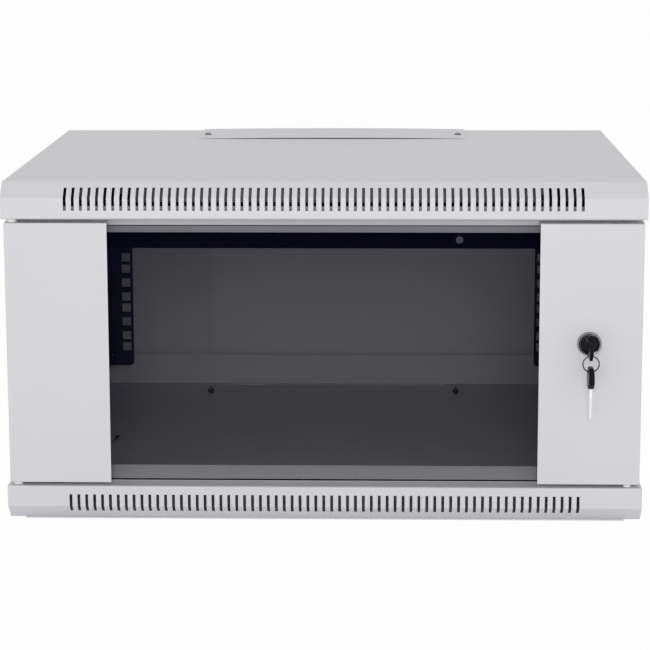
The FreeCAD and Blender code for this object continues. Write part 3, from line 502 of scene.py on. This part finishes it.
def keyRing():
    # one round wire, closed
    low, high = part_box("key_ring")
    centre = (low + high) / 2
    wire = (high.y - low.y) / 2
    mesh = bmesh.new()
    made = bmesh.ops.create_circle(mesh, segments=ringSizes["sides"], radius=wire)
    reach = Vector(((high.x - low.x) / 2 - wire, 0, 0))
    bmesh.ops.transform(mesh, verts=made["verts"], matrix=Matrix.Translation(centre + reach))
    turned(mesh, mesh.verts[:] + mesh.edges[:], centre, (0, 1, 0), ringSizes["steps"])
    finishPiece(mesh, "keyRingWire", "key_ring", pieceSizes["roundSharp"])


keyRing()
print("lock and keys made")


# hinge spring

springSizes = {"turns": 5, "sides": 8, "stepsPerTurn": 20, "wire": 0.00045, "pull": 0.0057, "seat": 0.0003}


def hingeSpring():
    low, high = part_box("hinge_spring")
    centre = (low + high) / 2
    wire, turns = springSizes["wire"], springSizes["turns"]
    radius = (high.x - low.x) / 2 - wire
    travel = high.z - low.z - 2 * wire
    mesh = bmesh.new()
    made = bmesh.ops.create_circle(mesh, segments=springSizes["sides"], radius=wire, cap_ends=True)
    start = Matrix.Translation((centre.x + radius, centre.y, low.z + wire))
    bmesh.ops.transform(mesh, verts=made["verts"], matrix=start @ Matrix.Rotation(math.pi / 2, 4, "X"))
    steps = turns * springSizes["stepsPerTurn"]
    bmesh.ops.spin(mesh, geom=mesh.verts[:] + mesh.edges[:] + mesh.faces[:], cent=centre, axis=(0, 0, 1),
                   dvec=(0, 0, travel / steps), angle=2 * math.pi * turns, steps=steps, use_duplicate=False)
    coil = finishPiece(mesh, "hingeCoil", "hinge_spring", pieceSizes["roundSharp"])
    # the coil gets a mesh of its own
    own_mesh(coil)


hingeSpring()
print("hinge spring made")


# screws

# rimHigh and deepest are shares of the head's rise, slim and long of its radius
screwSizes = {"radius": 0.004, "rise": 0.002, "shank": 0.002, "shankSides": 12, "shankTip": 0.7,
              "overlap": 0.0001, "cells": 8, "squeeze": 1.5, "rimHigh": 0.25, "dome": 0.5, "slim": 0.14,
              "long": 0.62, "narrowed": 0.7, "recess": 0.0011, "deepest": 0.7, "nutSides": 6}


def headPoint(flat, radius, rise):
    # moves a point of a square grid onto a round, domed head
    x, y = (math.copysign(abs(c) ** screwSizes["squeeze"], c) for c in flat.xy)
    x, y = x * math.sqrt(1 - y * y / 2), y * math.sqrt(1 - x * x / 2)
    dome, rimHigh = screwSizes["dome"], screwSizes["rimHigh"]
    crown = math.sqrt(max(0.0, 1 - (1 - dome * dome) * (x * x + y * y)))
    return Vector((x * radius, y * radius, rise * (rimHigh + (1 - rimHigh) * (crown - dome) / (1 - dome))))


def crossHead(mesh, base, up, radius, rise, length):
    # a pan head with a cross recess, standing on base along up, and its shank below
    cells = screwSizes["cells"]
    verts = bmesh.ops.create_grid(mesh, x_segments=cells, y_segments=cells, size=1)["verts"]
    for vert in verts:
        vert.co = headPoint(vert.co, radius, rise)
    slim, long = radius * screwSizes["slim"], radius * screwSizes["long"]
    cross = []
    for face in dict.fromkeys(face for vert in verts for face in vert.link_faces):
        x, y = (abs(c) for c in face.calc_center_median().xy)
        if (x < slim and y < long) or (y < slim and x < long):
            cross.append(face)
    rim = [edge for edge in mesh.edges if edge.is_boundary and edge.verts[0] in verts]
    sunk = newVerts(bmesh.ops.extrude_face_region(mesh, geom=cross))
    bmesh.ops.delete(mesh, geom=cross, context="FACES")
    for vert in sunk:
        vert.co.x *= screwSizes["narrowed"]
        vert.co.y *= screwSizes["narrowed"]
        vert.co.z -= min(screwSizes["recess"], rise * screwSizes["deepest"])
    skirt = bmesh.ops.extrude_edge_only(mesh, edges=rim)
    foot = newVerts(skirt)
    for vert in foot:
        vert.co.z = 0
    hem = [item for item in skirt["geom"]
           if isinstance(item, bmesh.types.BMEdge) and all(vert in foot for vert in item.verts)]
    bmesh.ops.edgeloop_fill(mesh, edges=hem)
    shank = screwSizes["shank"]
    down = Matrix.Translation((0, 0, screwSizes["overlap"] - length / 2))
    rod = bmesh.ops.create_cone(mesh, cap_ends=True, segments=screwSizes["shankSides"], depth=length,
                                radius1=shank * screwSizes["shankTip"], radius2=shank, matrix=down)
    moved = [vert for vert in verts + sunk + foot + rod["verts"] if vert.is_valid]
    place = Matrix.Translation(base) @ Vector((0, 0, 1)).rotation_difference(up).to_matrix().to_4x4()
    bmesh.ops.transform(mesh, verts=moved, matrix=place)


def row(low, high, count, edge):
    # even places with the ends an edge's width in, or the middle for a single one
    if count == 1:
        return [(low + high) / 2]
    return [low + edge + (high - low - 2 * edge) * place / (count - 1) for place in range(count)]


def sheetScrews(name, axis, side, counts, radius=screwSizes["radius"], rise=screwSizes["rise"], nut=None,
                surface=None):
    # counts: how many screws stand along each of the other two axes
    # nut: where it starts and ends over the low end
    low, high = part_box(name)
    first, second = (i for i in range(3) if i != axis)
    up = Vector((0, 0, 0))
    up[axis] = side
    mesh = bmesh.new()
    for u in row(low[first], high[first], counts[0], radius):
        for v in row(low[second], high[second], counts[1], radius):
            base = Vector((0, 0, 0))
            base[first], base[second] = u, v
            base[axis] = high[axis] - rise if side > 0 else low[axis] + rise
            crossHead(mesh, base, up, radius, rise, high[axis] - low[axis] - rise)
            if nut:
                base[axis] = low[axis] + (nut[0] + nut[1]) / 2
                bmesh.ops.create_cone(mesh, cap_ends=True, segments=screwSizes["nutSides"], radius1=radius,
                                      radius2=radius, depth=nut[1] - nut[0], matrix=Matrix.Translation(base))
    finishPiece(mesh, name + "Cross", name, pieceSizes["softSharp"], surface=surface)


plateScrewSizes = {"radius": 0.0038, "rise": 0.0022, "roofNut": (0.0029, 0.0059),
                   "floorNut": (0.0052, 0.0082)}

sheetScrews("left_side_screws", 0, -1, (3, 1))
sheetScrews("right_side_screws", 0, 1, (3, 1))
sheetScrews("floor_screws", 2, -1, (2, 3))
sheetScrews("back_panel_screws", 1, 1, (2, 3))
sheetScrews("cross_rail_screws", 1, -1, (2, 1))
for screws, side, nut in (("roof_plate_screws", 1, "roofNut"), ("floor_plate_screws", -1, "floorNut")):
    sheetScrews(screws, 2, side, (2, 1), plateScrewSizes["radius"], plateScrewSizes["rise"],
                plateScrewSizes[nut], paintedShadeZinc)
print("screws made")


# floor, light and camera

stageSizes = {"half": 14, "pale": 0.95, "gloss": 0.9, "gleam": 0.1, "glow": 0.96, "footprint": (0.285, 0.2)}


def seenDirectly(graph):
    # 1 for what the camera sees straight on, in a reflection or through glass
    rays = graph.node("ShaderNodeLightPath", {})
    outputs = rays.socket.node.outputs
    seen = Signal(graph, outputs["Is Camera Ray"])
    for word in ("Is Glossy Ray", "Is Transmission Ray"):
        seen = seen.combine("MAXIMUM", seen, Signal(graph, outputs[word]))
    return seen


def paleStage():
    # a pale floor that is seen nearly white, takes a little shadow, and isn't lit up under the object
    pale = stageSizes["pale"]
    finish = Finish("paleFloor", **{"Base Color": (pale, pale, pale, 1), "Roughness": stageSizes["gloss"],
                                    "Specular IOR Level": stageSizes["gleam"]})
    light = finish.node("ShaderNodeEmission", {}, Color=(1, 1, 1, 1), Strength=1.0)
    outside = 0
    for axis, reach in zip("XY", stageSizes["footprint"]):
        spot = finish.node("ShaderNodeSeparateXYZ", {}, finish.place, output=axis)
        spot = finish.node("ShaderNodeMath", {"operation": "ABSOLUTE"}, spot)
        outside = outside + spot.combine("GREATER_THAN", spot, reach)
    outside = outside.combine("MINIMUM", outside, 1.0)
    lit = Signal(finish, finish.shader.outputs[0])
    finish.show("Material Output", finish.node(
        "ShaderNodeMixShader", {}, seenDirectly(finish) * outside * stageSizes["glow"], lit, light))
    return finish.material


def stageFloor():
    mesh = bmesh.new()
    bmesh.ops.create_grid(mesh, x_segments=1, y_segments=1, size=stageSizes["half"])
    data = bpy.data.meshes.new("floor")
    mesh.to_mesh(data)
    mesh.free()
    data.materials.append(paleStage())
    floor = bpy.data.objects.new("floor", data)
    bpy.context.scene.collection.objects.link(floor)


stageFloor()

lightSizes = {"sky": 0.66, "backdrop": 1.0, "aim": (0, 0, 0.15),
              "keyPlace": (0.15, -2.6, 0.8), "keySize": 0.9, "keyPower": 16.5,
              "glintPlace": (-0.49, -2.18, 0.36), "glintSize": 0.06, "glintPower": 1.8}


def worldLight():
    # an even grey sky that is white where it is seen
    world = bpy.data.worlds.new("studio")
    bpy.context.scene.world = world
    world.use_nodes = True
    graph = Graph(world.node_tree)
    sky, backdrop = (graph.node("ShaderNodeBackground", {}, Color=(1, 1, 1, 1), Strength=lightSizes[word])
                     for word in ("sky", "backdrop"))
    graph.show("World Output", graph.node("ShaderNodeMixShader", {}, seenDirectly(graph), sky, backdrop))


worldLight()


def softLamp(name, place, size, power):
    lamp = bpy.data.lights.new(name, "AREA")
    lamp.shape = "DISK"
    lamp.size = size
    lamp.energy = power
    holder = bpy.data.objects.new(name, lamp)
    holder.location = place
    holder.rotation_euler = (Vector(lightSizes["aim"]) - Vector(place)).to_track_quat("-Z", "Y").to_euler()
    bpy.context.scene.collection.objects.link(holder)


softLamp("keyLamp", lightSizes["keyPlace"], lightSizes["keySize"], lightSizes["keyPower"])
softLamp("glintLamp", lightSizes["glintPlace"], lightSizes["glintSize"], lightSizes["glintPower"])

cameraSizes = {"sensor": 36, "lens": 119.39, "shiftY": -0.10, "place": (0.0553, -2.1803, 0.5892),
               "pitch": 9.707, "yaw": 1.555, "roll": -0.147}


def setCamera():
    data = bpy.data.cameras.new("camera")
    data.sensor_width = cameraSizes["sensor"]
    data.lens = cameraSizes["lens"]
    data.shift_y = cameraSizes["shiftY"]
    camera = bpy.data.objects.new("camera", data)
    turn = (Matrix.Rotation(math.radians(cameraSizes["yaw"]), 4, "Z")
            @ Matrix.Rotation(math.radians(90 - cameraSizes["pitch"]), 4, "X")
            @ Matrix.Rotation(math.radians(cameraSizes["roll"]), 4, "Z"))
    camera.matrix_world = Matrix.Translation(cameraSizes["place"]) @ turn
    bpy.context.scene.collection.objects.link(camera)
    bpy.context.scene.camera = camera


setCamera()
bpy.context.scene.view_settings.view_transform = "Standard"
print("stage set")
